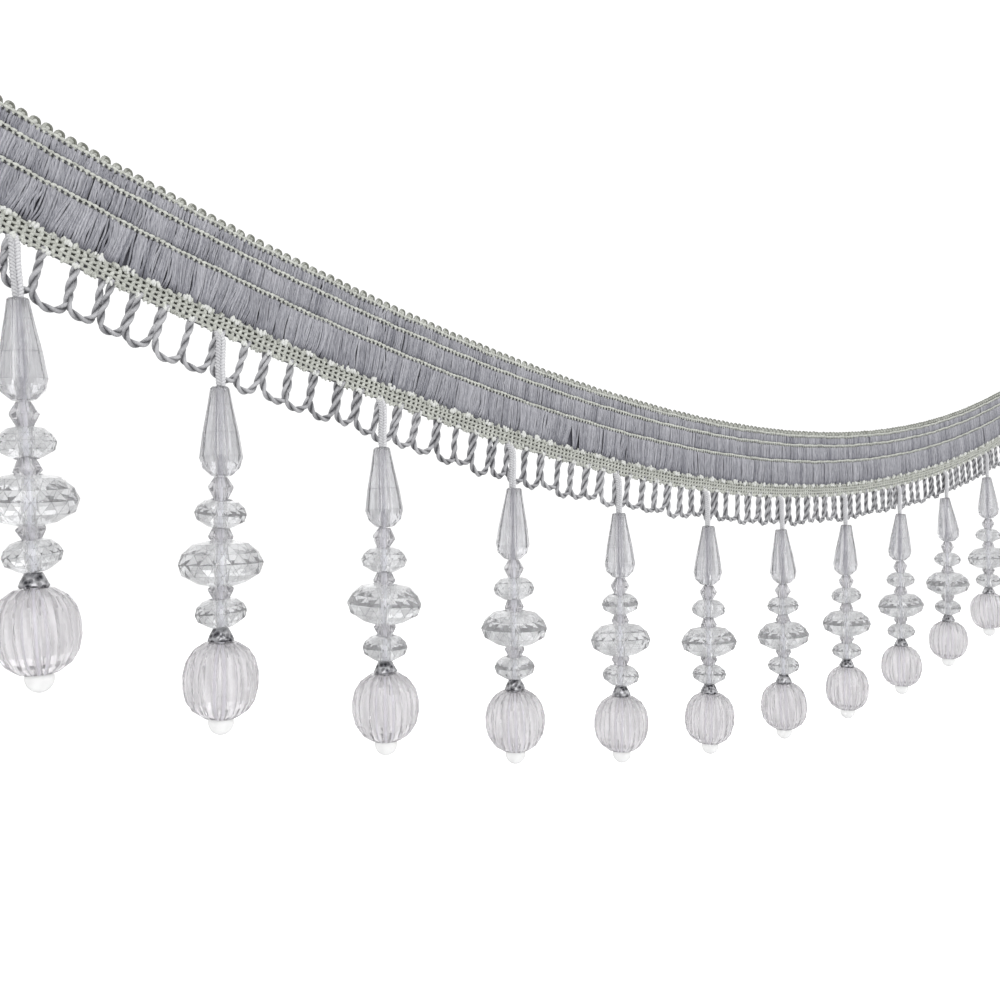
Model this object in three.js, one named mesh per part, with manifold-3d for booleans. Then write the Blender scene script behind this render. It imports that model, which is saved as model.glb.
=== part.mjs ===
// A beaded fringe trim: a woven braid heading hung in a swag, a looped cord fringe at its foot,
// and a row of bead pendants. Millimetres, +Z up, the front faces -Y, the back lies in the plane y = 0.
// The origin is the middle of the heading's top edge.
import * as THREE from 'three';
import { mergeVertices } from 'three/addons/utils/BufferGeometryUtils.js';
import Module from 'manifold-3d';

const wasm = await Module();
wasm.setup();

// Spacing along the trim
const PENDANTS = 11;
const PENDANT_PITCH = 50;
const LOOPS_PER_PITCH = 7;
const LOOPS_PAST_END = 5;
const PICOTS = 205;
const LOOP_PITCH = PENDANT_PITCH / LOOPS_PER_PITCH;
const HALF_LENGTH = (PENDANT_PITCH * (PENDANTS - 1)) / 2 + LOOP_PITCH * LOOPS_PAST_END;
const PICOT_PITCH = (2 * HALF_LENGTH) / PICOTS;

// The swag of the trim's foot: height = slope u + sag u^2 + skew u^3, with u counted in pendant pitches
const SWAG = { slope: -4.08, sag: 1.52, skew: 0.019 };
const SWAG_REACH = 300;
const SWAG_DIVISIONS = 600;
const BAND_STEPS = 36;

// The heading's cross-section, from its foot up to the picots
const HEADING_HEIGHT = 27;
const GAP = 0.3;
const STRIP_HEIGHT = 1.2;
const BAND_EDGE_DEPTH = 1.2;
const BANDS = [
  { name: 'woven foot', top: 4.2, crown: 1.6 },
  { name: 'third floats', top: 13.7, crown: 2.2 },
  { name: 'third line', top: 14.5, crown: 1.6 },
  { name: 'second floats', top: 20.1, crown: 2.0 },
  { name: 'second line', top: 21.0, crown: 1.6 },
  { name: 'first floats', top: 24.0, crown: 1.8 },
  { name: 'first line', top: 25.0, crown: 1.6 },
];
const PICOT = { root: 24.4, valley: 25.2, crestWidth: 0.5, back: 0.15, thickness: 0.9 };

// Corners of a mesh closer than this are taken as one
const MERGE_DISTANCE = 1e-4;

// The looped fringe
const LOOPS = LOOPS_PER_PITCH * (PENDANTS - 1) + 2 * LOOPS_PAST_END;
const FRINGE_CORD = 1.4;
const LOOP = { drop: 10.4, uneven: 0.4, rhythm: 2.4 };
const LOOP_HALF_WIDTH = (LOOP_PITCH - GAP) / 2;
const LOOP_ROWS = [
  { side: 0.9, fall: 0 },
  { side: 1, fall: 0.45 },
  { side: 0.8, fall: 0.85 },
  { side: 0.3, fall: 1 },
];

// The pendants, which hang just in front of the loops
const PENDANT_DEPTH = 2.5;
const CORD_LENGTH = 13.2;
const CORD_RISE = 0.5;
// A quarter of the doubled cord's outline, from its waist to its side
const CORD_OUTLINE = [
  { x: 0, y: 0.36 },
  { x: 0.65, y: 0.57 },
  { x: 1.3, y: 0.33 },
];
const LEANS = { 0: 2.6, 1: -0.6 };

// Bead outlines: drop is measured down from the top of the drop bead
const DROP_BEAD = [
  { drop: 0, radius: 2.2 },
  { drop: 4.4, radius: 2.95 },
  { drop: 11.3, radius: 4.3 },
  { drop: 17.3, radius: 5.1 },
  { drop: 19.3, radius: 4.5 },
  { drop: 21.4, radius: 1.9 },
];
const SPACERS = [
  { name: 'upper bicone', top: 21.7, middle: 24.2, bottom: 26.9, radius: 3.05, neck: 1.9, girdle: 0 },
  { name: 'upper rondelle', top: 27.1, middle: 30.35, bottom: 33.7, radius: 6.2, neck: 3.4, girdle: 0 },
  { name: 'middle bicone', top: 33.8, middle: 36.1, bottom: 36.8, radius: 3.0, neck: 2.0, girdle: 0 },
  { name: 'large rondelle', top: 37.0, middle: 42.3, bottom: 47.7, radius: 10.1, neck: 4.2, girdle: 0.8 },
  { name: 'lower bicone', top: 47.8, middle: 48.6, bottom: 50.6, radius: 3.1, neck: 2.2, girdle: 0 },
  { name: 'lower rondelle', top: 50.8, middle: 54.0, bottom: 57.6, radius: 6.2, neck: 3.4, girdle: 0 },
];
const CONE = { top: 57.8, bottom: 61.0, topRadius: 1.9, bottomRadius: 3.1 };
const LANTERN = { middle: 70.2, halfHeight: 9.65, radius: 9.1, top: 61.3, bottom: 79.1, rings: 5 };
const BALL = { middle: 80.2, halfHeight: 3.1, radius: 3.1, top: 79.4, bottom: 83.1, rings: 3 };
const BEAD_SIDES = 8;
const LANTERN_SIDES = 10;

// The foot of the trim, as a curve over the whole reach of the swag
class Foot extends THREE.Curve {
  getPoint(t, target = new THREE.Vector3()) {
    const x = SWAG_REACH * (2 * t - 1);
    const u = x / PENDANT_PITCH;
    return target.set(x, 0, SWAG.slope * u + SWAG.sag * u ** 2 + SWAG.skew * u ** 3);
  }
}

const foot = new Foot();
foot.arcLengthDivisions = SWAG_DIVISIONS;
const footLength = foot.getLength();
const footMiddle = foot.getLengths()[SWAG_DIVISIONS / 2];
const topMiddle = fromFoot(0, HEADING_HEIGHT);

// A point of the trim's plane, at a length along the foot and a height square to it
function fromFoot(along, up) {
  const u = (footMiddle + along) / footLength;
  const point = foot.getPointAt(u);
  const run = foot.getTangentAt(u);
  return new THREE.Vector3(point.x - up * run.z, 0, point.z + up * run.x);
}

function onBand(along, up, depth = 0) {
  const point = fromFoot(along, up).sub(topMiddle);
  point.y = -depth;
  return point;
}

// The foot of the trim from end to end, which the extruded sections follow
class FootLine extends THREE.Curve {
  getPoint(t, target = new THREE.Vector3()) {
    return target.copy(onBand(HALF_LENGTH * (2 * t - 1), 0));
  }
}

// A section drawn as depth and height, carried along the foot
function alongFoot(section) {
  const shape = new THREE.Shape(section.map(({ depth, up }) => new THREE.Vector2(depth, -up)));
  return new THREE.ExtrudeGeometry(shape, {
    steps: BAND_STEPS,
    extrudePath: new FootLine(),
    bevelEnabled: false,
  });
}

function solidOf(geometry) {
  const bare = geometry.clone();
  bare.deleteAttribute('normal');
  bare.deleteAttribute('uv');
  const merged = mergeVertices(bare, MERGE_DISTANCE);
  return new wasm.Manifold(
    new wasm.Mesh({
      numProp: 3,
      vertProperties: new Float32Array(merged.attributes.position.array),
      triVerts: new Uint32Array(merged.index.array),
    })
  );
}

function geometryOf(solid) {
  const { vertProperties, triVerts } = solid.getMesh();
  const geometry = new THREE.BufferGeometry();
  geometry.setAttribute('position', new THREE.BufferAttribute(vertProperties, 3));
  geometry.setIndex(new THREE.BufferAttribute(triVerts, 1));
  return geometry;
}

function joined(geometries) {
  return geometryOf(geometries.map(solidOf).reduce((whole, piece) => whole.add(piece)));
}

// Each band of the heading swells from its edges to a flat crown
function headingSection() {
  const bottom = STRIP_HEIGHT + GAP;
  const section = [];
  let from = bottom;
  for (const { top, crown } of BANDS) {
    const shoulder = (top - from) / 4;
    section.push({ up: from, depth: BAND_EDGE_DEPTH });
    section.push({ up: from + shoulder, depth: crown });
    section.push({ up: top - shoulder, depth: crown });
    from = top;
  }
  section.push({ up: from, depth: BAND_EDGE_DEPTH });
  section.push({ up: from, depth: 0 });
  section.push({ up: bottom, depth: 0 });
  return section;
}

// The row of picots: a thin strip with a scalloped top, rooted in the heading
function picotEdge() {
  const outline = [];
  const halfCrest = (PICOT.crestWidth * PICOT_PITCH) / 2;
  for (let k = 0; k < PICOTS; k += 1) {
    const middle = -HALF_LENGTH + PICOT_PITCH * (k + 0.5);
    outline.push(onBand(middle - PICOT_PITCH / 2, PICOT.valley));
    outline.push(onBand(middle - halfCrest, HEADING_HEIGHT));
    outline.push(onBand(middle + halfCrest, HEADING_HEIGHT));
  }
  outline.push(onBand(HALF_LENGTH, PICOT.valley));
  for (let k = BAND_STEPS; k >= 0; k -= 1) {
    outline.push(onBand(HALF_LENGTH * ((2 * k) / BAND_STEPS - 1), PICOT.root));
  }
  return cutOut(new THREE.Shape(flatPath(outline)), PICOT.thickness, PICOT.back);
}

// One loop of the fringe: the outer or inner outline of a U of cord, in the plane of the trim
function loopOutline(k, inset) {
  const middle = LOOP_PITCH * (k - (LOOPS - 1) / 2);
  const drop = LOOP.drop + LOOP.uneven * Math.sin(LOOP.rhythm * k) - inset;
  const half = LOOP_HALF_WIDTH - inset;
  const left = LOOP_ROWS.map(({ side, fall }) => ({ side: -side, fall }));
  const right = [...LOOP_ROWS].reverse();
  return [...left, ...right].map(({ side, fall }) => onBand(middle + side * half, -fall * drop));
}

function flatPath(points) {
  return points.map(({ x, z }) => new THREE.Vector2(x, z));
}

// A flat outline in the trim's plane, given its thickness from the back forwards
function cutOut(shape, thickness, back = 0) {
  const plate = new THREE.ExtrudeGeometry(shape, { depth: thickness, bevelEnabled: false });
  return plate.rotateX(Math.PI / 2).translate(0, -back, 0);
}

// The strip that the loops are rooted in, with the loops hanging from its lower edge
function loopFringe() {
  const outline = [onBand(-HALF_LENGTH, 0)];
  for (let k = 0; k < LOOPS; k += 1) outline.push(...loopOutline(k, 0));
  outline.push(onBand(HALF_LENGTH, 0));
  for (let k = BAND_STEPS; k >= 0; k -= 1) {
    outline.push(onBand(HALF_LENGTH * ((2 * k) / BAND_STEPS - 1), STRIP_HEIGHT));
  }
  const shape = new THREE.Shape(flatPath(outline));
  for (let k = 0; k < LOOPS; k += 1) shape.holes.push(new THREE.Path(flatPath(loopOutline(k, FRINGE_CORD))));
  return cutOut(shape, FRINGE_CORD);
}

// A bead turned about the pendant's line, from rows of drop and radius, closed on the axis
function turned(rows, sides) {
  const heights = rows.map(({ drop, radius }) => new THREE.Vector2(radius, -drop)).reverse();
  const low = new THREE.Vector2(0, heights[0].y);
  const high = new THREE.Vector2(0, heights[heights.length - 1].y);
  return new THREE.LatheGeometry([low, ...heights, high], sides).rotateX(Math.PI / 2);
}

function spacerRows() {
  const rows = [];
  for (const { top, middle, bottom, radius, neck, girdle } of SPACERS) {
    rows.push({ drop: top, radius: neck });
    rows.push({ drop: middle - girdle, radius });
    if (girdle > 0) rows.push({ drop: middle + girdle, radius });
    rows.push({ drop: bottom, radius: neck });
  }
  rows.push({ drop: CONE.top, radius: CONE.topRadius });
  rows.push({ drop: CONE.bottom, radius: CONE.bottomRadius });
  return rows;
}

// Rows on an ellipse, from a flat top to a flat bottom
function ovalRows({ middle, halfHeight, radius, top, bottom, rings }) {
  const first = Math.asin((middle - top) / halfHeight);
  const last = Math.asin((middle - bottom) / halfHeight);
  return Array.from({ length: rings }, (_, k) => {
    const angle = first + ((last - first) * k) / (rings - 1);
    return { drop: middle - halfHeight * Math.sin(angle), radius: radius * Math.cos(angle) };
  });
}

// The doubled cord: two round strands side by side, drawn as one outline with a waist
function hangingCord() {
  const right = [...CORD_OUTLINE, ...CORD_OUTLINE.map(({ x, y }) => ({ x, y: -y })).reverse()];
  const left = right.slice(1, -1).map(({ x, y }) => ({ x: -x, y })).reverse();
  const outline = [...right, ...left].map(({ x, y }) => new THREE.Vector2(x, y));
  const depth = CORD_LENGTH + CORD_RISE - GAP;
  const cord = new THREE.ExtrudeGeometry(new THREE.Shape(outline), { depth, bevelEnabled: false });
  return cord.translate(0, 0, GAP);
}

const finishes = {
  braid: { color: 0xa9a9b0, roughness: 0.75, metalness: 0 },
  fringe: { color: 0x85858b, roughness: 0.7, metalness: 0 },
  cord: { color: 0xc4c4c8, roughness: 0.5, metalness: 0 },
  clear: { color: 0xd2d2d8, roughness: 0.08, metalness: 0 },
  spacer: { color: 0xbfc0c6, roughness: 0.08, metalness: 0 },
  lantern: { color: 0xcfc8cf, roughness: 0.08, metalness: 0 },
  ball: { color: 0xe6e6e8, roughness: 0.1, metalness: 0 },
};

function piece(name, geometry, finish) {
  const mesh = new THREE.Mesh(geometry, new THREE.MeshStandardMaterial(finish));
  mesh.name = name;
  return mesh;
}

// One pendant, hung by the top of its cord from the foot of the trim
function pendant(k) {
  const number = String(k + 1).padStart(2, '0');
  const cord = piece(`hanging_cord_${number}`, hangingCord(), finishes.cord);
  cord.position.z = -CORD_LENGTH;
  const beads = new THREE.Group();
  beads.position.z = -CORD_LENGTH;
  beads.add(piece(`drop_bead_${number}`, turned(DROP_BEAD, BEAD_SIDES), finishes.clear));
  beads.add(piece(`spacer_beads_${number}`, turned(spacerRows(), BEAD_SIDES), finishes.spacer));
  beads.add(piece(`lantern_bead_${number}`, turned(ovalRows(LANTERN), LANTERN_SIDES), finishes.lantern));
  beads.add(piece(`end_ball_${number}`, turned(ovalRows(BALL), BEAD_SIDES), finishes.ball));
  const whole = new THREE.Group();
  whole.add(cord, beads);
  whole.position.copy(onBand(PENDANT_PITCH * (k - (PENDANTS - 1) / 2), 0, PENDANT_DEPTH));
  whole.rotation.y = -THREE.MathUtils.degToRad(LEANS[k] ?? 0);
  return whole;
}

const group = new THREE.Group();
group.add(piece('heading', joined([alongFoot(headingSection()), picotEdge()]), finishes.braid));
group.add(piece('loop_fringe', loopFringe(), finishes.fringe));
for (let k = 0; k < PENDANTS; k += 1) group.add(pendant(k));

export default group;
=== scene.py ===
import math

import bpy
import numpy as np
from mathutils import Matrix, Vector


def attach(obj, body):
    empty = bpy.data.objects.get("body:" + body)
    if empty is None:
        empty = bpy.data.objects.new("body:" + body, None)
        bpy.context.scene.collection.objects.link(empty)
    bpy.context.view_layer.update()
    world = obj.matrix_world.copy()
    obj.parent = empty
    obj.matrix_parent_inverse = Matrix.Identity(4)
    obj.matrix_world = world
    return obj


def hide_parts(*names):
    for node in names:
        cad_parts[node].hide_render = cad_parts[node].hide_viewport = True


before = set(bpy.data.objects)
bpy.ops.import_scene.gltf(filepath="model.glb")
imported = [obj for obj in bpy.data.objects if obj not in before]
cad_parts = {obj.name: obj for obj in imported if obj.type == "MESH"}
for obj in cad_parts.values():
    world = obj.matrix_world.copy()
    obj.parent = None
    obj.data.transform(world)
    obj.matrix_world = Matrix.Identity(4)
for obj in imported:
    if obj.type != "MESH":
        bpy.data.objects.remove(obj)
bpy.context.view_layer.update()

mm = 0.001               # every length below is in millimetres
dice = np.random.default_rng(20)
print("frame loaded:", len(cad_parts), "nodes")

# The trim hangs in a swag. Its foot is the lower edge of the woven strip at the bottom of the heading:
# z = slope u + sag u^2 + skew u^3, with u = x / pitch.
trim = {
    "pendants": 11, "pitch": 50.0, "loopsPerPitch": 7, "loopsPastEnd": 5, "picots": 205,
    "slope": -4.08, "sag": 1.52, "skew": 0.019, "reach": 300.0, "height": 27.0,
}
loopPitch = trim["pitch"] / trim["loopsPerPitch"]
loopCount = trim["loopsPerPitch"] * (trim["pendants"] - 1) + 2 * trim["loopsPastEnd"]
halfLength = trim["pitch"] * (trim["pendants"] - 1) / 2 + loopPitch * trim["loopsPastEnd"]
picotPitch = 2 * halfLength / trim["picots"]
stitchPitch = picotPitch / 2


def footHeight(u):
    return trim["slope"] * u + trim["sag"] * u ** 2 + trim["skew"] * u ** 3


footX = np.linspace(-trim["reach"], trim["reach"], 2401)
footZ = footHeight(footX / trim["pitch"])
footLength = np.concatenate([[0.0], np.cumsum(np.hypot(np.diff(footX), np.diff(footZ)))])
footLength -= np.interp(0.0, footX, footLength)


# The foot's point at a length along it, moved square to the foot by a height.
def fromFoot(along, up):
    x = np.interp(along, footLength, footX)
    u = x / trim["pitch"]
    run = (trim["slope"] + 2 * trim["sag"] * u + 3 * trim["skew"] * u ** 2) / trim["pitch"]
    size = np.sqrt(1 + run ** 2)
    return x - up * run / size, footHeight(u) + up / size


topX, topZ = fromFoot(0.0, trim["height"])


# A point of the trim from its length along the foot, height above it and distance out from the flat back.
def onBand(along, up, out):
    along, up, out = np.broadcast_arrays(*[np.asarray(v, float) for v in (along, up, out)])
    x, z = fromFoot(along, up)
    return np.stack([x - topX, -out, z - topZ], axis=-1)


def unit(vectors):
    return vectors / np.linalg.norm(vectors, axis=-1, keepdims=True)


# Slow uneven waves along the trim: a sum of sines of these lengths with seeded phases, within -1 and 1.
def drift(along, lengths):
    phases = dice.uniform(0, 2 * math.pi, len(lengths))
    waves = [np.sin(2 * math.pi * along / size + phase) for size, phase in zip(lengths, phases)]
    return sum(waves) / len(lengths)


# 0 before low, 1 after high, and 3 t^2 - 2 t^3 between them.
def ease(value, low, high):
    t = np.clip((value - low) / (high - low), 0, 1)
    return t * t * (3 - 2 * t)


# One piece from its form: whole arrays of points and faces, with the values that its finish reads.
def makePiece(name, form, finish, smooth=True):
    points, faces, values = form
    mesh = bpy.data.meshes.new(name)
    corners = np.concatenate([face.ravel() for face in faces])
    totals = np.concatenate([np.full(len(face), face.shape[1]) for face in faces])
    starts = np.concatenate([[0], np.cumsum(totals)[:-1]])
    mesh.vertices.add(len(points))
    mesh.vertices.foreach_set("co", (points * mm).astype(np.float32).ravel())
    mesh.loops.add(len(corners))
    mesh.loops.foreach_set("vertex_index", corners.astype(np.int32))
    mesh.polygons.add(len(totals))
    mesh.polygons.foreach_set("loop_start", starts.astype(np.int32))
    mesh.polygons.foreach_set("use_smooth", np.full(len(totals), smooth))
    mesh.update(calc_edges=True)
    for key, value in values.items():
        attribute = mesh.attributes.new(key, "FLOAT", "POINT")
        attribute.data.foreach_set("value", np.asarray(value, np.float32).ravel())
    mesh.materials.append(finish)
    piece = bpy.data.objects.new(name, mesh)
    bpy.context.collection.objects.link(piece)
    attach(piece, "root")
    return piece


# Several meshes as one: each has its points, its faces and its values.
def joined(meshes):
    points, faces, values, first = [], [], {}, 0
    for meshPoints, meshFaces, meshValues in meshes:
        points.append(meshPoints)
        faces += [face + first for face in meshFaces]
        first += len(meshPoints)
        for key, value in meshValues.items():
            values.setdefault(key, []).append(value)
    return np.concatenate(points), faces, {key: np.concatenate(value) for key, value in values.items()}


# The direction of each path, a side square to it and to the reference, and the third square to both.
def framesOf(paths, reference):
    ahead = unit(np.gradient(paths, axis=1))
    side = unit(np.cross(ahead, np.asarray(reference, float)))
    return ahead, side, np.cross(ahead, side)


def lengthsOf(paths):
    steps = np.linalg.norm(np.diff(paths, axis=1), axis=-1)
    return np.concatenate([np.zeros((len(paths), 1)), np.cumsum(steps, axis=1)], axis=1)


# A ply wound round a path: path + offset (side cos t + third sin t), where t turns once in every pitch.
def woundRound(paths, reference, offset, pitch, phase):
    _, side, third = framesOf(paths, reference)
    turn = 2 * math.pi * lengthsOf(paths) / pitch + np.reshape(phase, (-1, 1))
    return paths + offset * (side * np.cos(turn)[..., None] + third * np.sin(turn)[..., None])


# Tubes with closed ends: each point of a path carries the ring radius (side cos a + third sin a).
# Where a path winds round a core, each point keeps its distance from it as a share of the greatest, which a
# cord's finish turns into painted shade in its grooves.
def tubes(paths, radius, sides, reference, tone=0.0, core=None):
    count, steps = paths.shape[:2]
    _, side, third = framesOf(paths, reference)
    angle = 2 * math.pi * np.arange(sides) / sides
    reach = np.broadcast_to(radius, (count, steps))[..., None, None]
    ring = side[:, :, None] * np.cos(angle)[:, None] + third[:, :, None] * np.sin(angle)[:, None]
    points = paths[:, :, None] + reach * ring
    index = np.arange(count * steps * sides).reshape(count, steps, sides)
    across = np.roll(index, -1, axis=2)
    walls = np.stack([index[:, :-1], across[:, :-1], across[:, 1:], index[:, 1:]], axis=-1)
    faces = [walls.reshape(-1, 4), index[:, 0, ::-1], index[:, -1]]
    deep = np.ones((count, steps, sides))
    if core is not None:
        deep = np.linalg.norm(points - core[:, :, None], axis=-1)
        deep = deep / deep.max()
    values = {
        "along": np.repeat(lengthsOf(paths)[..., None], sides, axis=2).ravel(),
        "share": np.broadcast_to(np.linspace(0, 1, steps)[:, None], index.shape).ravel(),
        "tone": np.broadcast_to(np.reshape(tone, (-1, 1, 1)), index.shape).ravel(),
        "groove": deep.ravel(),
    }
    return points.reshape(-1, 3), faces, values


# A strip with closed ends: an outline of (up, out) points, anticlockwise seen from the +X end, carried along.
def sweep(outline, along):
    up, out = np.array(outline, float).T
    points = onBand(along[:, None], up[None], out[None])
    index = np.arange(points.shape[0] * points.shape[1]).reshape(points.shape[:2])
    across = np.roll(index, -1, axis=1)
    walls = np.stack([index[:-1], across[:-1], across[1:], index[1:]], axis=-1).reshape(-1, 4)
    faces = [walls, index[:1, ::-1], index[-1:]]
    values = {
        "along": np.repeat(along, len(up)), "up": np.tile(up, len(along)), "out": np.tile(out, len(along)),
    }
    return points.reshape(-1, 3), faces, values


# Plump stitches: centre - long cos t + sin t (high cos a + deep sin a), from pole to pole, lying on the band
# at a length and height, with the sizes across and a tilt from the run of the band.
def stitches(along, up, out, long, high, deep, tilt=0.0, tone=0.0, rings=3, sides=6):
    along, up, out, long, high, deep, tilt, tone = np.broadcast_arrays(
        *[np.asarray(v, float) for v in (along, up, out, long, high, deep, tilt, tone)])
    centre = onBand(along, up, out)
    run = unit(onBand(along + 0.1, up, out) - onBand(along - 0.1, up, out))
    rise = unit(onBand(along, up + 0.1, out) - onBand(along, up - 0.1, out))
    cosTilt, sinTilt = np.cos(tilt)[..., None], np.sin(tilt)[..., None]
    longAxis = (run * cosTilt + rise * sinTilt) * long[..., None] / 2
    highAxis = (rise * cosTilt - run * sinTilt) * high[..., None] / 2
    deepAxis = np.array([0.0, -1.0, 0.0]) * deep[..., None] / 2
    t = math.pi * np.arange(1, rings + 1) / (rings + 1)
    a = 2 * math.pi * np.arange(sides) / sides
    waist = highAxis[:, None, None] * np.cos(a)[:, None] + deepAxis[:, None, None] * np.sin(a)[:, None]
    walls = centre[:, None, None] - longAxis[:, None, None] * np.cos(t)[:, None, None]
    walls = (walls + waist * np.sin(t)[:, None, None]).reshape(len(centre), -1, 3)
    points = np.concatenate([walls, (centre - longAxis)[:, None], (centre + longAxis)[:, None]], axis=1)
    size = rings * sides + 2
    index = np.arange(rings * sides).reshape(rings, sides)
    across = np.roll(index, -1, axis=1)
    quads = np.stack([index[:-1], across[:-1], across[1:], index[1:]], axis=-1).reshape(-1, 4)
    firstFan = np.stack([np.full(sides, size - 2), across[0], index[0]], axis=-1)
    lastFan = np.stack([np.full(sides, size - 1), index[-1], across[-1]], axis=-1)
    shift = (np.arange(len(centre)) * size)[:, None, None]
    faces = [(face[None] + shift).reshape(-1, face.shape[1]) for face in (quads, firstFan, lastFan)]
    return points.reshape(-1, 3), faces, {"tone": np.repeat(tone, size)}


# Smooth paths through rows of knots: between knots p1 and p2 a cubic in t, whose slope at each knot is half
# the way from the knot before it to the knot after it.
def smoothPaths(knots, steps):
    before, after = 2 * knots[:, :1] - knots[:, 1:2], 2 * knots[:, -1:] - knots[:, -2:-1]
    padded = np.concatenate([before, knots, after], axis=1)
    place = np.linspace(0, knots.shape[1] - 1, steps)
    first = np.minimum(place.astype(int), knots.shape[1] - 2)
    t = (place - first)[None, :, None]
    p0, p1, p2, p3 = (padded[:, first + k] for k in range(4))
    bend = (2 * p0 - 5 * p1 + 4 * p2 - p3) * t ** 2 + (3 * p1 - p0 - 3 * p2 + p3) * t ** 3
    return 0.5 * (2 * p1 + (p2 - p0) * t + bend)


# A value in a node tree, with the sums that the finishes use written as Python.
class Wire:
    def __init__(self, finish, socket):
        self.finish, self.socket = finish, socket

    def __add__(self, other):
        return self.finish.maths("ADD", self, other)

    def __radd__(self, other):
        return self.finish.maths("ADD", other, self)

    def __sub__(self, other):
        return self.finish.maths("SUBTRACT", self, other)

    def __rsub__(self, other):
        return self.finish.maths("SUBTRACT", other, self)

    def __mul__(self, other):
        return self.finish.maths("MULTIPLY", self, other)

    def __rmul__(self, other):
        return self.finish.maths("MULTIPLY", other, self)

    def __pow__(self, other):
        return self.finish.maths("POWER", self, other)


# A node tree: node() adds any node from its type, its settings and the values or links of its sockets.
class Finish:
    def __init__(self, tree):
        self.tree = tree
        self.tree.nodes.clear()

    def node(self, kind, settings=None, sockets=None, output=0):
        node = self.tree.nodes.new(kind)
        for key, value in (settings or {}).items():
            setattr(node, key, value)
        for key, value in (sockets or {}).items():
            if isinstance(value, Wire):
                self.tree.links.new(value.socket, node.inputs[key])
            else:
                node.inputs[key].default_value = value
        return Wire(self, node.outputs[output]) if node.outputs else None

    def maths(self, operation, first, second=0.0):
        return self.node("ShaderNodeMath", {"operation": operation}, {0: first, 1: second})

    def clamped(self, value):
        return self.node("ShaderNodeClamp", {}, {0: value})

    def sine(self, value):
        return self.maths("SINE", value)

    def value(self, name):
        return self.node("ShaderNodeAttribute", {"attribute_name": name}, output="Fac")

    def place(self, scale=(1, 1, 1)):
        position = self.node("ShaderNodeTexCoord", output="Object")
        return self.node("ShaderNodeMapping", {}, {"Vector": position, "Scale": scale})

    def vector(self, x, y, z):
        return self.node("ShaderNodeCombineXYZ", {}, {0: x, 1: y, 2: z})

    def noise(self, vector, scale, detail=2.0):
        return self.node("ShaderNodeTexNoise", {}, {"Vector": vector, "Scale": scale, "Detail": detail})

    def mix(self, factor, first, second):
        sockets = {"Factor": factor, 6: first, 7: second}
        return self.node("ShaderNodeMix", {"data_type": "RGBA"}, sockets, output=2)

    def bump(self, height, strength, distance):
        return self.node("ShaderNodeBump", {}, {"Height": height, "Strength": strength, "Distance": distance})

    def shaded(self, sockets):
        shader = self.node("ShaderNodeBsdfPrincipled", {}, sockets)
        self.node("ShaderNodeOutputMaterial", {}, {"Surface": shader})


def newFinish(name):
    material = bpy.data.materials.new(name)
    material.use_nodes = True
    return material, Finish(material.node_tree)


def grey(value, warm=0.0, blue=0.0):
    return (value + warm, value, value + blue, 1.0)


# Finishes. Colours are linear: pale celadon, lilac grey and white yarns, grey cords, and plastic beads.
paint = {
    "celadonDark": (0.195, 0.20, 0.17, 1), "celadon": (0.72, 0.735, 0.68, 1),
    # The dark lilac is painted shade, under the floats and at their tucked ends.
    "lilacShade": (0.12, 0.12, 0.145, 1), "lilac": (0.19, 0.192, 0.225, 1),
    "lilacLight": (0.54, 0.54, 0.58, 1),
    # Each cord's dark colour serves both its dark fibres and the painted shade in its grooves.
    "cordDarkAndShade": (0.07, 0.07, 0.08, 1), "cord": (0.57, 0.57, 0.59, 1),
    "silverDarkAndShade": (0.26, 0.26, 0.28, 1), "silver": (0.84, 0.84, 0.86, 1),
    # The near black and the dark olive are painted shade: in the slits under the binding lines, and in the
    # foot's holes.
    "white": (0.84, 0.85, 0.83, 1), "paintedShadow": (0.02, 0.02, 0.024, 1), "holeShade": (0.24, 0.245, 0.21, 1),
    # Painted shade on the beads: the near black along their facets' edges, and the dark grey at their tops.
    "facetEdgeShade": grey(0.10, 0, 0.01), "bore": grey(0.98), "beadTop": grey(0.30, 0, 0.02),
    # The foil colours stand partly for painted glints and dark reflections in the crinkled foil.
    "foilDarkReflection": grey(0.05, 0, 0.01), "foil": grey(0.54, 0, 0.02),
    "threadDark": grey(0.30, 0.01, 0.04), "thread": grey(0.95, 0, 0.04),
}

# Satin filaments: streaks of noise stretched along the yarn, with painted shade at its ends, where it is
# tucked under, and towards its foot.
satin = {"streaks": (5200, 5200, 420), "contrast": 2.0, "middle": 0.58, "tone": 0.13, "footShade": 0.3}


def floatFinish():
    material, finish = newFinish("satin floats")
    streaks = finish.noise(finish.place(satin["streaks"]), 1.0, 3.0)
    share, tone = finish.value("share"), finish.value("tone")
    # Painted shade at both ends of the yarn, where it is tucked under: this mask is 0 there and 1 between.
    ends = finish.clamped(share * 30.0) * finish.clamped((1.0 - share) * 5.0)
    level = (streaks - 0.5) * satin["contrast"] + satin["middle"]
    level = finish.clamped(level + tone * satin["tone"] - share * share * satin["footShade"])
    colour = finish.mix(level, paint["lilac"], paint["lilacLight"])
    colour = finish.mix(ends * 0.75 + 0.25, paint["lilacShade"], colour)
    finish.shaded({
        "Base Color": colour, "Roughness": 0.55 - level * 0.15, "Sheen Weight": 0.25,
        "Sheen Roughness": 0.4, "Normal": finish.bump(streaks, 0.35, 0.0001),
    })
    return material


# Spun yarn: fine mottled fibres, paler or darker by each stitch's own tone. Glow is painted light: the yarn
# gives off its own colour.
yarn = {"fibres": 3000.0, "contrast": 1.2, "middle": 0.70, "tone": 0.28}


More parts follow.
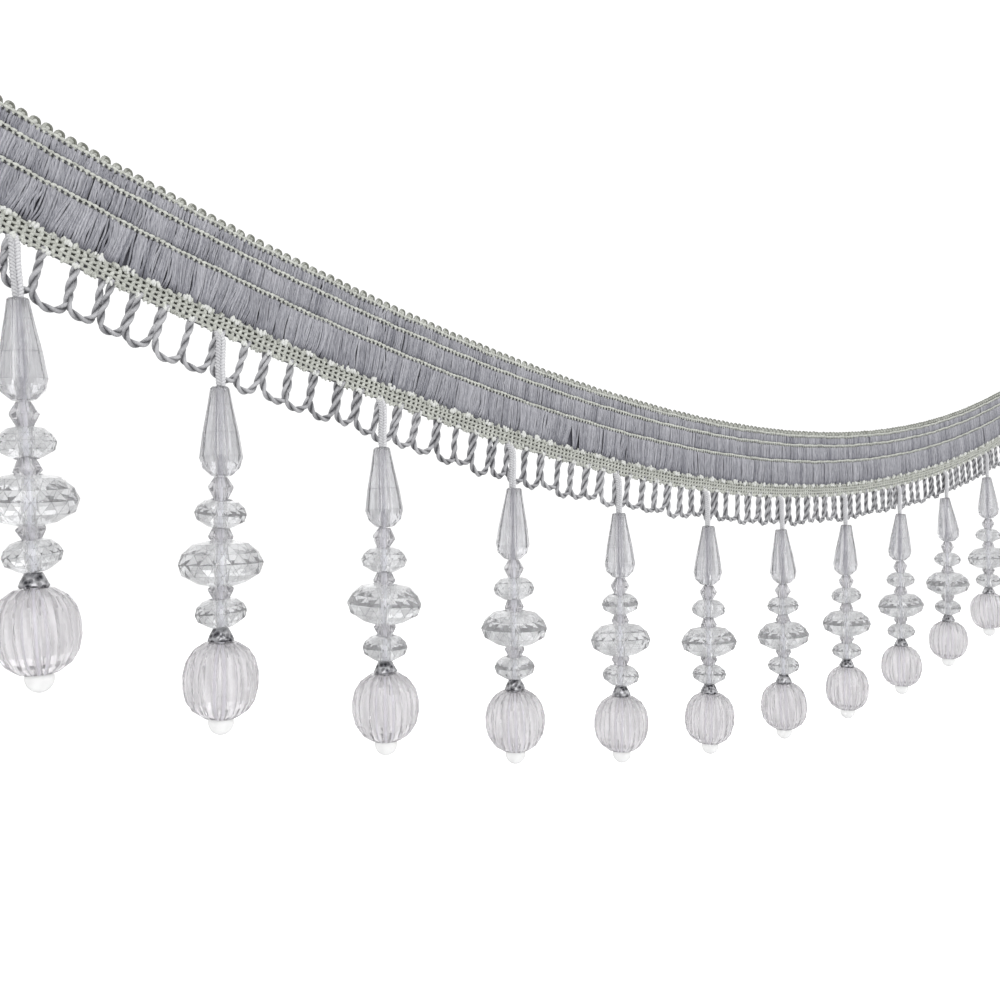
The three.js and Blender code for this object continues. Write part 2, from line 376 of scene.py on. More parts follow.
def yarnFinish(name, dark, light, fibreScale=yarn["fibres"], paintedGlow=0.0):
    material, finish = newFinish(name)
    fibres = finish.noise(finish.place(), fibreScale, 3.0)
    level = (fibres - 0.5) * yarn["contrast"] + yarn["middle"] + finish.value("tone") * yarn["tone"]
    colour = finish.mix(finish.clamped(level), dark, light)
    finish.shaded({
        "Base Color": colour, "Roughness": 0.78 - fibres * 0.15, "Sheen Weight": 0.2,
        "Emission Color": colour, "Emission Strength": paintedGlow, "Normal": finish.bump(fibres, 0.5, 0.00015),
    })
    return material


# A twisted cord gets painted shade in the grooves between its plies, over its mottled fibres.
cordLook = {"fibres": 2600.0, "contrast": 0.8, "grooves": 0.9, "tone": 0.12}


def cordFinish(name, dark, light, power):
    material, finish = newFinish(name)
    fibres = finish.noise(finish.place(), cordLook["fibres"], 3.0)
    # Painted shade: darkest where a ply lies nearest the cord's core, in the grooves between plies.
    groove = finish.clamped(finish.value("groove") * 1.9 - 0.9)
    level = (groove ** power) * cordLook["grooves"] + (fibres - 0.5) * cordLook["contrast"]
    level = finish.clamped(level + finish.value("tone") * cordLook["tone"])
    finish.shaded({
        "Base Color": finish.mix(level, dark, light), "Roughness": 0.6 - fibres * 0.15, "Sheen Weight": 0.2,
        "Normal": finish.bump(fibres, 0.5, 0.00015),
    })
    return material


# The ground cloth: its front, under the floats and the foot, is painted dark as their shade, and on the back
# the same bands as the front, woven flat.
# Heights are above the foot. Weave is the length and the height of one wave of it, and front is how far out
# from the back the front begins.
clothLook = {"lines": (14.1, 20.6, 24.7), "lineHalf": 0.45, "weave": (1.67, 0.9), "foot": 4.3, "front": 0.5}


def groundFinish():
    material, finish = newFinish("heading ground")
    along, up, out = finish.value("along"), finish.value("up"), finish.value("out")
    front = finish.clamped((out - clothLook["front"]) * 20.0)
    streaks = finish.noise(finish.vector(along * 2.6, up * 0.18, 0.0), 1.0, 3.0)
    lilac = finish.mix(finish.clamped((streaks - 0.5) * 2.0 + 0.5), paint["lilac"], paint["lilacLight"])
    run, rise = clothLook["weave"]
    weave = finish.sine(along * (2 * math.pi / run)) * finish.sine(up * (2 * math.pi / rise))
    celadon = finish.mix(finish.clamped(weave * 0.8 + 0.6), paint["celadonDark"], paint["celadon"])
    strip = finish.clamped((clothLook["foot"] - up) * 4.0)
    pale = strip
    for height in clothLook["lines"]:
        offset = finish.maths("ABSOLUTE", up - height)
        pale = pale + finish.clamped((clothLook["lineHalf"] - offset) * 8.0)
    back = finish.mix(finish.clamped(pale), lilac, celadon)
    # Painted shade on the front: dark lilac under the floats, and dark olive in the foot's holes.
    shadeUnderFloats = finish.mix(strip, paint["lilacShade"], paint["holeShade"])
    finish.shaded({
        "Base Color": finish.mix(front, back, shadeUnderFloats), "Roughness": 0.8,
        "Normal": finish.bump(weave * pale + streaks * (1.0 - finish.clamped(pale)), 0.5, 0.0002),
    })
    return material


# Painted shadow: the dark marks between the binding lines' teeth, near black mottled with dark olive.
def pinchShadowFinish():
    material, finish = newFinish("pinchShadows")
    fibres = finish.noise(finish.place(), 3000.0)
    finish.shaded({"Base Color": finish.mix(fibres * 0.35, paint["paintedShadow"], paint["holeShade"]), "Roughness": 0.9})
    return material


# Clear moulded beads: fine streaks of drawn plastic run down them, and their tint deepens with the streaks.
# Edge is how dark the painted shade is along the lines between cut facets: the attribute inner is 0 at a
# facet's corners and edges, 1 at its middle and 2 in the bore, which is left clear. Shade is how much painted
# shade darkens the tint at the top of a bead, where the attribute fall is 0. It is 1 at the bottom.
fineStreaks, broadStreaks = (1900, 1900, 45), (900, 900, 60)
beadLooks = {
    "smoked drop": {
        "dark": grey(0.66, 0, 0.025), "light": grey(0.94, 0, 0.025), "roughness": 0.07, "clear": 0.84,
        "streakScale": fineStreaks, "edge": 0.35, "shade": 0.37,
    },
    "clear bead": {
        "dark": grey(0.83, -0.008, 0.012), "light": grey(0.95, -0.003, 0.016), "roughness": 0.03,
        "clear": 0.84, "edge": 0.7,
    },
    "pearl bicone": {
        "dark": grey(0.80, 0.01, 0.03), "light": grey(0.95, 0.005, 0.02), "roughness": 0.06,
        "clear": 0.76, "edge": 0.6,
    },
    "pearl lantern": {
        "dark": grey(0.83, 0.022, 0.03), "light": grey(0.96, 0.014, 0.02), "roughness": 0.07,
        "clear": 0.8, "shade": 0.3,
    },
    # The ball's glow is painted light.
    "milky ball": {"dark": grey(0.95), "light": grey(0.98), "roughness": 0.2, "clear": 0.4, "paintedGlow": 0.13},
}


# Glow is painted light: the bead gives off its light colour.
def beadFinish(name, dark, light, roughness, clear, streakScale=broadStreaks, edge=0.0, shade=0.0, paintedGlow=0.0):
    material, finish = newFinish(name)
    streaks = finish.noise(finish.place(streakScale), 1.0, 2.0)
    level = finish.clamped((streaks - 0.5) * 2.4 + 0.6)
    colour = finish.mix(level, dark, light)
    if edge:
        inner = finish.value("inner")
        # Painted shade along the lines between facets.
        inside = finish.clamped(inner * 7.0 + (1.0 - edge))
        colour = finish.mix(inside, paint["facetEdgeShade"], colour)
        colour = finish.mix(finish.clamped(inner * 2.0 - 3.0), colour, paint["bore"])
    if shade:
        # Painted shade at the bead's top.
        below = finish.clamped(finish.value("fall") * 1.8 + (1.0 - shade))
        colour = finish.mix(below, paint["beadTop"], colour)
    finish.shaded({
        "Base Color": colour, "Roughness": roughness + streaks * 0.04,
        "Emission Color": light, "Emission Strength": paintedGlow, "Transmission Weight": clear, "IOR": 1.49,
        "Normal": finish.bump(streaks, 0.12, 0.0003),
    })
    return material


# The cone is silver foil under clear plastic: cells of unlike brightness, its crinkled foil with painted
# glints and dark reflections.
def coneFinish():
    material, finish = newFinish("foiled silver")
    flecks = finish.node("ShaderNodeTexVoronoi", {}, {"Vector": finish.place(), "Scale": 760.0})
    finish.shaded({
        "Base Color": finish.mix(finish.clamped(flecks * 2.0 - 0.4), paint["foilDarkReflection"], paint["foil"]),
        "Metallic": 0.7, "Roughness": 0.16 + flecks * 0.2, "Normal": finish.bump(flecks, 0.6, 0.0004),
    })
    return material


floatMaterial = floatFinish()
celadonMaterial = yarnFinish("celadon yarn", paint["celadonDark"], paint["celadon"])
tuftMaterial = yarnFinish("white yarn", paint["celadon"], paint["white"], 2200.0)
groundMaterial = groundFinish()
pinchShadowMaterial = pinchShadowFinish()
loopMaterial = cordFinish("twisted grey cord", paint["cordDarkAndShade"], paint["cord"], 1.2)
silverMaterial = cordFinish("silver cord", paint["silverDarkAndShade"], paint["silver"], 1.0)
beadMaterials = {name: beadFinish(name, **look) for name, look in beadLooks.items()}
coneMaterial = coneFinish()
# The thread's glow is painted light, so that it reads bright inside the beads.
threadMaterial = yarnFinish("stringing thread", paint["threadDark"], paint["thread"], paintedGlow=0.3)
print("finishes made")

# The camera is level, with a slight roll, where the photograph was taken from.
viewpoint = {"x": -325.3, "y": -234.4, "z": -29.8, "yaw": 43.33, "roll": -0.6, "lens": 38.39, "sensor": 36}


def setCamera():
    yaw, roll = math.radians(viewpoint["yaw"]), math.radians(viewpoint["roll"])
    ahead = Vector((math.sin(yaw), math.cos(yaw), 0))
    right = Vector((math.cos(yaw), -math.sin(yaw), 0))
    up = Vector((0, 0, 1))
    turn = Matrix((
        right * math.cos(roll) + up * math.sin(roll), up * math.cos(roll) - right * math.sin(roll), -ahead,
    )).transposed()
    lens = bpy.data.cameras.new("camera")
    lens.lens, lens.sensor_width = viewpoint["lens"], viewpoint["sensor"]
    lens.clip_start, lens.clip_end = 0.01, 50
    camera = bpy.data.objects.new("camera", lens)
    place = Vector([viewpoint[axis] * mm for axis in "xyz"])
    camera.matrix_world = Matrix.Translation(place) @ turn.to_4x4()
    bpy.context.collection.objects.link(camera)
    bpy.context.scene.camera = camera


setCamera()

# The woven ground of the heading: a thin cloth with a soft front.
ground = {"foot": 1.5, "top": 25.0, "thick": 1.0, "edge": 0.3, "steps": 560, "rows": 14}


def makeGround():
    up = np.linspace(ground["foot"], ground["top"], ground["rows"])
    bow = 1 - np.abs(np.linspace(-1, 1, ground["rows"])) ** 6
    out = ground["edge"] + (ground["thick"] - ground["edge"]) * bow
    outline = [*zip(up, np.zeros_like(up)), *zip(up[::-1], out[::-1])]
    cloth = sweep(outline, np.linspace(-halfLength, halfLength, ground["steps"]))
    piece = makePiece("headingGround", cloth, groundMaterial)
    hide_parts("heading")
    return piece


headingGround = makeGround()

# Bands of floats. Each yarn runs down from a binding line, bows out, and is tucked in at its foot.
# Clump is how wide the clumps are that lean together, lean how far their feet wander along the trim, fan how
# far they open, and bend how far yarns bow sideways. Bunch is the share by which the yarns of a gather are
# drawn to its middle, and gathers how many picots wide it is.
bands = {
    "third": {
        "top": 14.1, "foot": 4.2, "rest": 1.35, "crown": 2.0, "steps": 10, "clump": 7.0,
        "lean": 0.8, "fan": 1.5, "bend": 0.35, "bunch": 0.10, "gathers": 1.0,
    },
    "second": {
        "top": 20.7, "foot": 14.3, "rest": 1.35, "crown": 1.85, "steps": 7, "clump": 7.0,
        "lean": 0.14, "fan": 0.2, "bend": 0.12, "bunch": 0.05, "gathers": 0.5,
    },
    "first": {
        "top": 24.8, "foot": 20.9, "rest": 1.25, "crown": 1.6, "steps": 6, "clump": 5.0,
        "lean": 0.04, "fan": 0.06, "bend": 0.05, "bunch": 0.20, "gathers": 0.5,
    },
}
floats = {"yarns": 1355, "thick": 0.31, "sides": 5, "margin": 0.3, "jitter": 0.07, "curl": 0.09}


# Yarns lie in clumps of uneven width. Some clumps lean their own way, and some open like a fan at their feet.
def clumped(rest, size, lean, fan):
    edges = -halfLength - size + np.cumsum(size * dice.uniform(0.4, 1.6, int(3 * halfLength / size)))
    clump = np.searchsorted(edges, rest)
    place = (rest - edges[clump - 1]) / (edges[clump] - edges[clump - 1]) - 0.5
    leans = dice.normal(0, lean, len(edges))
    fans = dice.normal(fan / 2, fan, len(edges))
    fans *= dice.random(len(edges)) < 0.5
    wander = lean * drift(rest, [53, 29])
    leans *= dice.random(len(edges)) < 0.3
    return wander + leans[clump] + fans[clump] * place


def makeFloats(name, band):
    rest = np.linspace(-halfLength + floats["margin"], halfLength - floats["margin"], floats["yarns"])
    start = rest + dice.normal(0, floats["jitter"], len(rest))
    t = np.linspace(0, 1, band["steps"])
    lean = clumped(rest, band["clump"], band["lean"], band["fan"])
    gather = picotPitch * band["gathers"]
    middle = (np.floor((rest + halfLength) / gather) + 0.5) * gather - halfLength
    draw = band["bunch"] * (1 + 0.6 * drift(rest, [17, 31, 9])) * (middle - rest)
    bow = ease(t, -0.05, 0.14) * (1 - 0.8 * ease(t, 0.8, 1.0))
    swell = 1 + 0.3 * drift(rest, [37, 15])
    crown = (band["crown"] - band["rest"]) * swell + dice.normal(0, 0.12, len(rest))
    along = start[:, None] + lean[:, None] * ease(t, 0.1, 1.1) + draw[:, None] * ease(t, 0.35, 1.0)
    curl = dice.normal(0, floats["curl"], (len(rest), 1))
    phase = dice.uniform(0, 6, (len(rest), 1))
    along = along + curl * np.sin(3 * math.pi * t + phase)
    along = along + band["bend"] * 2 * drift(rest, [7.3, 19, 3.1])[:, None] * np.sin(math.pi * t)
    hang = 1 + 0.03 * drift(rest, [picotPitch * 2, 19])
    up = band["top"] + (band["foot"] - band["top"]) * t[None] * hang[:, None]
    out = band["rest"] + crown[:, None] * bow[None]
    tone = 1.4 * drift(rest, [11, 29, 5.3]) + dice.normal(0, 1.0, len(rest))
    thick = floats["thick"] * (1 + dice.normal(0, 0.1, (len(rest), 1))) * (1 - 0.12 * ease(t, 0.6, 1.0))
    yarns = tubes(onBand(along, up, out), thick, floats["sides"], (1, 0, 0), tone)
    makePiece(name, yarns, floatMaterial)


for key in bands:
    makeFloats(key + "Floats", bands[key])
print("ground and floats made")

# Binding lines hold the floats: a flat chain of pale stitches with a row of teeth under it, and between each
# two teeth a dark mark of painted shadow, where the floats pinch in.
lines = {
    "heights": (14.4, 21.0, 24.85), "outs": (1.95, 1.95, 1.85), "wander": 0.22,
    "long": 1.6, "high": 0.86, "deep": 0.6, "tilt": 0.16,
    "toothLong": 0.62, "toothHigh": 1.0, "toothDeep": 0.5, "toothFall": 0.55,
    "shadowLong": 0.52, "shadowHigh": 0.54, "shadowDeep": 0.5, "shadowFall": 0.72,
}


def makeBindingLine(name, height, out):
    along = np.arange(-halfLength + stitchPitch / 2, halfLength, stitchPitch)
    wave = lines["wander"] * drift(along, [43, 17, 8.1])
    tilt = lines["tilt"] + 0.10 * dice.normal(0, 1, len(along))
    tone = dice.normal(0.5, 0.4, len(along))
    chain = stitches(along, height + wave, out, lines["long"], lines["high"], lines["deep"], tilt, tone)
    toothUp = height + wave - lines["toothFall"] + dice.normal(0, 0.07, len(along))
    toothTone = dice.normal(0.2, 0.4, len(along))
    teeth = stitches(
        along + 0.1, toothUp, out - 0.05, lines["toothLong"], lines["toothHigh"], lines["toothDeep"],
        tone=toothTone)
    makePiece(name, joined([chain, teeth]), celadonMaterial)
    # The marks of painted shadow between the teeth, kept to be made as one piece at the end.
    place = along + stitchPitch / 2 + dice.normal(0, 0.08, len(along))
    shadowUp = height - (lines["shadowFall"] + dice.normal(0, 0.06, len(along))) + wave
    return stitches(place[:-1], shadowUp[:-1], out + 0.02, lines["shadowLong"], lines["shadowHigh"], lines["shadowDeep"])


pinchShadows = [
    makeBindingLine(f"bindingLine{number + 1}", height, out)
    for number, (height, out) in enumerate(zip(lines["heights"], lines["outs"]))
]

# Picots: small upright loops of cord along the top edge, each filled by its own wrapped knob. Each loop
# carries painted shade, darker from its left foot to its right one.
picots = {
    "root": 24.9, "crest": 26.97, "half": 0.95, "thick": 0.43, "out": 0.75, "steps": 9, "sides": 6,
    "tone": 0.2, "shadeToRight": 4.2, "knobUp": 0.75, "knobLong": 1.15, "knobHigh": 1.35, "knobDeep": 1.0,
}


def makePicots():
    centre = -halfLength + picotPitch * (np.arange(trim["picots"]) + 0.5)
    t = np.linspace(0, math.pi, picots["steps"])
    uneven = 1 + dice.normal(0, 0.04, (len(centre), 1))
    height = (picots["crest"] - picots["root"] - picots["thick"]) * uneven
    half = picots["half"] * (1 + dice.normal(0, 0.05, (len(centre), 1)))
    lean = dice.normal(0, 0.08, (len(centre), 1))
    along = centre[:, None] - half * np.sign(np.cos(t)) * np.abs(np.cos(t)) ** 0.75 + lean * np.sin(t)
    up = picots["root"] + height * np.sin(t) ** 0.7
    out = picots["out"] + 0.12 * np.cos(t)
    tone = dice.normal(picots["tone"], 0.3, len(centre))
    points, faces, values = tubes(onBand(along, up, out), picots["thick"], picots["sides"], (0, 1, 0), tone)
    # Painted shade, darker towards the loop's right foot.
    shaded = values["tone"] - picots["shadeToRight"] * ease(values["share"], 0.0, 0.7)
    knobs = stitches(
        centre, picots["root"] + picots["knobUp"], picots["out"] + 0.1, picots["knobLong"],
        picots["knobHigh"], picots["knobDeep"], tone=dice.normal(-0.2, 0.4, len(centre)), rings=4, sides=8)
    makePiece("picots", joined([(points, faces, {"tone": shaded}), knobs]), celadonMaterial)


makePicots()

# The woven foot: four ribs along the trim and slanted bars between them, with rows of small holes, dark with
# the painted shade behind them.
foot = {
    "rows": 4, "low": 0.36, "pitch": 1.22, "column": 1.67, "out": 1.42, "rib": 0.35, "wave": 0.08,
    "steps": 1371, "sides": 5, "tone": -0.2, "sway": 0.10,
    "barLong": 1.6, "barHigh": 1.02, "barDeep": 0.6, "slant": 0.35,
}


def makeFoot():
    along = np.linspace(-halfLength, halfLength, foot["steps"])
    row = np.arange(foot["rows"])[:, None]
    ripple = np.sin(2 * math.pi * along / foot["column"] + math.pi * row)
    sway = foot["sway"] * drift(along, [33, 14])
    up = foot["low"] + foot["pitch"] * row + foot["wave"] * ripple + sway
    out = foot["out"] + foot["wave"] * ripple * (-1) ** row
    paths = onBand(np.broadcast_to(along, up.shape), up, out)
    points, faces, values = tubes(paths, foot["rib"], foot["sides"], (0, 0, 1), foot["tone"])
    column = np.arange(-halfLength + foot["column"] / 2, halfLength, foot["column"])
    bars = []
    for gap in range(foot["rows"] - 1):
        height = foot["low"] + foot["pitch"] * (gap + 0.5) + foot["sway"] * drift(column, [33, 14])
        tilt = math.pi / 2 + foot["slant"] * (-1) ** gap + dice.normal(0, 0.12, len(column))
        shift = dice.normal(0, 0.06, len(column))
        tone = dice.normal(0.1, 0.5, len(column))
        bars.append(stitches(
            column + shift, height, foot["out"] + 0.04, foot["barLong"], foot["barHigh"], foot["barDeep"],
            tilt, tone))
    ribs = (points, faces, {"tone": values["tone"]})
    makePiece("wovenFoot", joined([ribs, *bars]), celadonMaterial)


makeFoot()

# Tufts: each is a cluster of small plump yarn ends, set by chance in an ellipse as wide and tall as given.
# Along the foot's top there is a white one over each loop and a plain one at each picot. White ones sit over
# the loops' roots, and plain ones between them.
tufts = {
    "long": 1.35, "fat": 0.78, "turn": 0.38,
    "white": {"up": 4.35, "wide": 2.5, "tall": 1.2, "out": 1.85, "ends": 8},
    "plain": {"up": 4.15, "wide": 2.0, "tall": 0.8, "out": 1.65, "ends": 5},
    "atRoots": {"up": 0.05, "wide": 1.8, "tall": 0.7, "out": 1.75, "ends": 5},
    "betweenRoots": {"up": 0.05, "wide": 3.8, "tall": 0.5, "out": 1.3, "ends": 7},
}


def tuftCluster(along, tuft):
    ends = []
    for end in range(tuft["ends"]):
        angle = dice.uniform(0, 2 * math.pi, len(along))
        reach = np.sqrt(dice.uniform(0, 1, len(along))) / 2
        out = tuft["out"] + dice.uniform(-0.15, 0.25, len(along))
        long = tufts["long"] * dice.uniform(0.7, 1.2, len(along))
        tilt = math.pi / 2 + dice.normal(0, tufts["turn"], len(along))
        tone = dice.normal(0.1, 0.7, len(along))
        ends.append(stitches(
            along + reach * np.cos(angle) * tuft["wide"], tuft["up"] + reach * np.sin(angle) * tuft["tall"],
            out, long, tufts["fat"], tufts["fat"], tilt, tone))
    return ends


def makeTufts():
    number = np.arange(trim["picots"])
    knots = -halfLength + picotPitch * (number + 0.5) + dice.normal(0, 0.2, len(number))
    overLoops = loopPitch * (np.arange(loopCount) - (loopCount - 1) / 2) + dice.normal(0, 0.5, loopCount)
    loopRoots = loopPitch * (np.arange(loopCount + 1) - loopCount / 2)
    loopRoots = np.clip(loopRoots, -halfLength + 0.8, halfLength - 0.8)
    white = tuftCluster(overLoops, tufts["white"]) + tuftCluster(loopRoots, tufts["atRoots"])
    makePiece("whiteTufts", joined(white), tuftMaterial)
    between = loopRoots[:-1] + loopPitch / 2
    plain = tuftCluster(knots, tufts["plain"]) + tuftCluster(between, tufts["betweenRoots"])
    makePiece("celadonTufts", joined(plain), celadonMaterial)


makeTufts()
print("lines, picots, foot and tufts made")

# Loop fringe: two-ply cord falling from under the foot and back. Down one leg, a loop's points are (share of
# its half width, share of its drop). Each left leg passes in front of its neighbour's right leg.
loops = {
    "drop": 10.5, "root": 0.9, "spare": 0.35, "half": 3.3, "plies": 2, "ply": 0.54, "offset": 0.36,
    "twist": 7.0, "depth": 1.0, "cross": 0.30, "contrast": 1.3, "steps": 54, "sides": 6,
    "shift": 0.35, "swing": 0.5, "backing": [(0.1, 0.2), (1.2, 0.2), (1.2, 1.1), (0.1, 1.1)],
}
loopLeg = [(0.98, 0.0), (1.0, 0.2), (1.05, 0.45), (1.05, 0.70), (0.76, 0.92), (0.0, 1.0)]


def makeLoops():
    number = np.arange(loopCount)
    centre = loopPitch * (number - (loopCount - 1) / 2) + dice.normal(0, loops["shift"], loopCount)
    drop = loops["drop"] + 0.4 * np.sin(2.4 * number) + dice.normal(0, loops["spare"], loopCount)
    sway = dice.normal(0, loops["swing"], loopCount)
    wide = 1 + dice.normal(0, 0.09, loopCount)
    side, fall = np.array([(-s, f) for s, f in loopLeg] + [(s, f) for s, f in loopLeg[-2::-1]]).T
    along = centre[:, None] + loops["half"] * wide[:, None] * side + sway[:, None] * fall ** 2
    up = loops["root"] - (drop[:, None] + loops["root"]) * fall
    up = up + dice.normal(0, 0.10, up.shape) * (fall > 0)
    out = loops["depth"] - loops["cross"] * side + dice.normal(0, 0.08, up.shape)
    core = smoothPaths(onBand(along, up, out), loops["steps"])
    turn = dice.uniform(0, 2 * math.pi, loopCount)
    tone = dice.normal(0, 0.9, loopCount)
    plies = []
    for ply in range(loops["plies"]):
        phase = turn + 2 * math.pi * ply / loops["plies"]
        path = woundRound(core, (0, 1, 0), loops["offset"], loops["twist"], phase)
        shade = tone + loops["contrast"] * (0.5 - ply)
        plies.append(tubes(path, loops["ply"], loops["sides"], (0, 1, 0), shade, core))
    backing = sweep(loops["backing"], np.linspace(-halfLength, halfLength, 200))
    # With every value 0, the backing strip along the loops' roots takes the cord's darkest colour, its
    # painted groove shade, throughout.
    empty = np.zeros(len(backing[0]))
    backing = (*backing[:2], {key: empty for key in plies[0][2]})
    piece = makePiece("loopFringe", joined([*plies, backing]), loopMaterial)
    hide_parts("loop_fringe")
    return piece


loopFringe = makeLoops()
print("loops made")

# Pendants hang from the foot. Lean is the tilt of a string in degrees, towards +X at its end.
strings = {"out": 2.5, "leans": {1: 2.6, 2: -0.6}, "cord": 13.6, "tail": 79.3}


# The place of points given from a pendant's top: across, towards the back, and up.
def placed(number, local):
    top = onBand(trim["pitch"] * (number - (trim["pendants"] + 1) / 2), 0, strings["out"])
    lean = math.radians(strings["leans"].get(number, 0.0))
    x = local[..., 0] * math.cos(lean) - local[..., 2] * math.sin(lean)
    z = local[..., 0] * math.sin(lean) + local[..., 2] * math.cos(lean)
    return np.stack([top[0] + x, top[1] + local[..., 1], top[2] + z], axis=-1)


# A hanging cord: two strands side by side, each of two plies, wound in opposite ways like a plait. It starts
# in the foot, comes forward by back, and closes up by the share entry as it enters the drop bead.
silverCord = {
    "apart": 0.62, "entry": 0.4, "ply": 0.41, "offset": 0.28, "twist": 1.5, "steps": 84, "sides": 6,
    "start": 0.4, "back": 1.2, "wander": 0.12,
}


def makeHangingCord(number):
    z = np.linspace(silverCord["start"], -strings["cord"], silverCord["steps"])
    back = silverCord["back"] * (1 - ease(-z, -0.4, 2.4))
    wander = silverCord["wander"] * np.sin(z * 0.45 + number)
    entry = 1 - silverCord["entry"] * ease(-z, strings["cord"] - 1.6, strings["cord"])
    meshes = []
    for hand in (-1, 1):
        across = hand * silverCord["apart"] * entry + wander
        core = placed(number, np.stack([across, back, z], axis=-1))[None]
        for ply in range(2):
            twist = hand * silverCord["twist"]
            path = woundRound(core, (1, 0, 0), silverCord["offset"], twist, math.pi * ply)
            meshes.append(tubes(path, silverCord["ply"], silverCord["sides"], (1, 0, 0), 0.4 * hand, core))
    piece = makePiece(f"hangingCord_{number:02d}", joined(meshes), silverMaterial)
    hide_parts(f"hanging_cord_{number:02d}")


# A bored bead: rings of points (r cos a, r sin a, -drop) with a = 2 pi (j + phase) / sides, from the top rim
# down and back up the bore. Rings of unlike phase are joined by triangles, so that they read as cut facets.
def beadShell(rows, sides, bore, dents=1.0):
    rows = [*rows, (rows[-1][0], bore, rows[-1][2]), (rows[0][0], bore, rows[0][2])]
    drop, radius, phase = np.array(rows, float).T
    angle = 2 * math.pi * (np.arange(sides) + phase[:, None]) / sides
    reach = radius[:, None] * np.where(radius[:, None] > bore, dents, 1.0)
    height = np.broadcast_to(-drop[:, None], angle.shape)
    points = np.stack([reach * np.cos(angle), reach * np.sin(angle), height], axis=-1)
    index = np.arange(angle.size).reshape(angle.shape)
    faces = []
    for upper in range(len(rows)):
        lower = (upper + 1) % len(rows)
        high, low = index[upper], index[lower]
        highNext, lowNext = np.roll(high, -1), np.roll(low, -1)
        step = phase[lower] - phase[upper]
        if step == 0:
            rings = [(high, low, lowNext, highNext)]
        elif step > 0:
            rings = [(high, low, highNext), (highNext, low, lowNext)]
        else:
            rings = [(high, low, lowNext), (high, lowNext, highNext)]
        faces += [np.stack(corners, axis=-1) for corners in rings]
    return points.reshape(-1, 3), faces


# Each facet as a fan round its middle, so that the finish can tell a facet's edge from its inside.
def fanned(shell, bore):
    points, fans, middles = shell[0], [], []
    first = len(points)
    for face in shell[1]:
        middle = first + np.arange(len(face))
        middles.append(points[face].mean(axis=1))
        first += len(face)
        for corner in range(face.shape[1]):
            fans.append(np.stack([face[:, corner], face[:, (corner + 1) % face.shape[1]], middle], axis=-1))
    inBore = np.hypot(points[:, 0], points[:, 1]) < bore * 1.01
    inner = np.concatenate([2 * inBore, np.ones(first - len(points))])
    return np.concatenate([points, *middles]), fans, {"inner": inner}


# A bead on its string, turned about it and tipped a little, as threaded beads sit.
def threaded(number, shell, tip=0.05):
    points, faces, values = shell
    turn, tipX, tipY = dice.uniform(0, 2 * math.pi), dice.normal(0, tip), dice.normal(0, tip)
    middle = (points[:, 2].max() + points[:, 2].min()) / 2
    x = points[:, 0] * math.cos(turn) - points[:, 1] * math.sin(turn)
    y = points[:, 0] * math.sin(turn) + points[:, 1] * math.cos(turn)
    z = points[:, 2] + x * tipX + y * tipY
    fall = (points[:, 2].max() - points[:, 2]) / (points[:, 2].max() - points[:, 2].min())
    x, y = x - (points[:, 2] - middle) * tipX, y - (points[:, 2] - middle) * tipY
    return placed(number, np.stack([x, y, z], axis=-1)), faces, {**values, "fall": fall}


# Bead sizes, as drops below the top of the beads, which is beadTop below the foot. Rows are (drop, radius,
# phase). Rondelles and bicones are (top, middle, bottom, radius, neck). A rondelle's ends are dished, so that
# a bicone's tip reaches into them.
beadTop, beadBore = 13.2, 1.15
teardrop = {
    "sides": 14,
    "rows": [
        (0.0, 1.9, 0.0), (0.35, 2.25, 0.0), (4.4, 2.95, 0.0), (11.3, 4.3, 0.0), (17.0, 5.1, 0.0),
        (19.5, 4.45, 0.5), (21.3, 2.5, 0.0), (21.5, 1.9, 0.0),
    ],
}
bicones = {
    "sides": 8, "girdle": 0.25,
    "sizes": [(21.7, 24.2, 27.3, 3.05, 1.55), (33.3, 36.1, 37.6, 3.0, 1.7), (47.2, 48.6, 51.5, 3.1, 1.6)],
}
rondelles = {
    "sides": 16, "dish": 0.9, "dishRadius": 2.0,
    "sizes": [(27.1, 30.35, 33.7, 6.2, 2.6), (37.0, 42.3, 47.7, 10.1, 3.4), (50.8, 54.0, 57.6, 6.2, 2.6)],
}
cone = {
    "sides": 10,
    "rows": [(57.8, 1.8, 0.0), (58.3, 2.1, 0.0), (59.5, 2.75, 0.5), (60.6, 3.2, 0.0), (61.1, 2.9, 0.0)],
}
lantern = {
    "middle": 70.2, "half": 9.65, "radius": 9.1, "power": 2.3, "ribs": 14, "points": 6, "dent": 0.065,
    "cut": 0.93, "rows": 8,
}
ball = {"top": 79.35, "middle": 80.3, "radius": 3.1, "rings": 12, "sides": 24}


def rondelleRows(top, middle, bottom, radius, neck):
    above, below = middle - top, bottom - middle
    return [
        (top + rondelles["dish"], rondelles["dishRadius"], 0.0), (top, neck, 0.0),
        (top + above * 0.12, radius * 0.65, 0.5), (top + above * 0.54, radius * 0.89, 0.0),
        (middle, radius, 0.5),
        (middle + below * 0.50, radius * 0.91, 0.0), (middle + below * 0.88, radius * 0.56, 0.5),
        (bottom, neck, 0.0), (bottom - rondelles["dish"], rondelles["dishRadius"], 0.0),
    ]


def biconeRows(top, middle, bottom, radius, neck):
    girdle = bicones["girdle"]
    return [
        (top, neck, 0.0), (middle - girdle, radius * 0.98, 0.0), (middle + girdle, radius, 0.5),
        (bottom, neck, 0.5),
    ]


